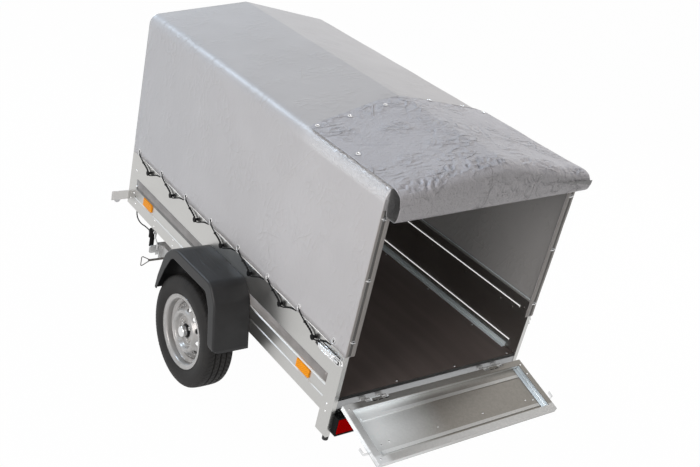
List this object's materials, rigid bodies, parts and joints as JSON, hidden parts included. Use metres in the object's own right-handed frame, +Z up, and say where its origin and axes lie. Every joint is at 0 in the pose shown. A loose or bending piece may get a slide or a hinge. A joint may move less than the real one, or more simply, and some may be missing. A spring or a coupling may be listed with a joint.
{
  "type": "covered utility trailer",
  "caption": "Tipping steel box trailer with a high fabric cover, rear flap thrown over the roof, open tailgate, fenders, drawbar with ball coupling and jockey wheel.",
  "frame": {"origin": "on the ground, midway between the coupling nose and the outer edge of the open tailgate, on the centre plane", "axes": "+Z up, -Y towards the coupling, +X the left side of the trailer"},
  "size_m": [1.4896, 3.3288, 1.6249],
  "materials": {
    "wall_sheet": "galvanised, pale",
    "zinc": "galvanised",
    "bright_zinc": "zinc plated",
    "floor_board": "film-faced plywood",
    "rubber": "matt",
    "tyre": "matt",
    "rim_silver": "silver",
    "black_plastic": "matt",
    "fender_plastic": "satin",
    "red_lens": "lens",
    "amber_lens": "lens",
    "white_lens": "lens",
    "cover_fabric": "coated fabric"
  },
  "bodies": {
    "chassis": {"axle_beam": "zinc", "swing_arms": "zinc", "chassis_rails": "zinc", "crossmember": "zinc", "lock_pin": "bright_zinc", "rest_brackets": "zinc", "drawbar_arms": "zinc", "drawbar_nose": "zinc", "coupling": "zinc", "coupling_handle": "bright_zinc", "jockey_clamp": "zinc", "stay_rod": "bright_zinc"},
    "load_box": {"left_wall": "wall_sheet", "right_wall": "wall_sheet", "front_wall": "wall_sheet", "floor_panel": "floor_board", "sills": "zinc", "cross_members": "zinc", "floor_angles": "zinc", "rear_sill": "zinc", "pivot_lugs": "zinc", "tip_catch": "zinc", "rubber_feet": "rubber", "tailgate_hinges": "zinc", "lamp_bar": "zinc", "lamp_housings": "black_plastic", "lamp_lenses": "red_lens", "side_reflectors": "amber_lens", "outriggers": "zinc", "marker_lamps": "white_lens", "latches": "bright_zinc", "left_fender": "fender_plastic", "right_fender": "fender_plastic", "cover": "cover_fabric", "cover_frame": "zinc", "rear_flap": "cover_fabric", "cord_knobs": "black_plastic", "plug_holder": "zinc", "plug": "black_plastic", "cable_gland": "black_plastic", "plug_cable": "black_plastic"},
    "tailgate": {"tailgate": "zinc", "tailgate_catches": "bright_zinc"},
    "left_wheel": {"left_tyre": "tyre", "left_rim": "rim_silver", "left_hub": "zinc", "left_hub_cap": "black_plastic"},
    "right_wheel": {"right_tyre": "tyre", "right_rim": "rim_silver", "right_hub": "zinc", "right_hub_cap": "black_plastic"},
    "jockey_tube": {"jockey_tube": "bright_zinc", "jockey_crank": "zinc"},
    "jockey_leg": {"jockey_leg": "bright_zinc"},
    "jockey_fork": {"jockey_fork": "zinc"},
    "jockey_wheel": {"jockey_wheel": "rubber"}
  },
  "joints": [
    {"name": "box_tip", "type": "hinge", "parent": "chassis", "child": "load_box", "pos_m": [0, 0.34562, 0.4], "axis": [-1, 0, 0], "range_deg": [0, 19]},
    {"name": "tailgate_hinge", "type": "hinge", "parent": "load_box", "child": "tailgate", "pos_m": [0, 1.36562, 0.524], "axis": [1, 0, 0], "range_deg": [0, 105.6]},
    {"name": "left_wheel_spin", "type": "hinge", "parent": "chassis", "child": "left_wheel", "pos_m": [0.6555, 0.34562, 0.281], "axis": [1, 0, 0], "continuous": true},
    {"name": "right_wheel_spin", "type": "hinge", "parent": "chassis", "child": "right_wheel", "pos_m": [-0.6555, 0.34562, 0.281], "axis": [1, 0, 0], "continuous": true},
    {"name": "jockey_clamp_slide", "type": "slide", "parent": "chassis", "child": "jockey_tube", "axis": [0, 0, 1], "range_m": [0, 0.068]},
    {"name": "jockey_crank_slide", "type": "slide", "parent": "jockey_tube", "child": "jockey_leg", "axis": [0, 0, 1], "range_m": [-0.15, 0]},
    {"name": "jockey_swivel", "type": "hinge", "parent": "jockey_leg", "child": "jockey_fork", "pos_m": [-0.075, -1.27438, 0.219], "axis": [0, 0, 1], "continuous": true},
    {"name": "jockey_wheel_spin", "type": "hinge", "parent": "jockey_fork", "child": "jockey_wheel", "pos_m": [-0.075, -1.24438, 0.1], "axis": [1, 0, 0], "continuous": true}
  ]
}
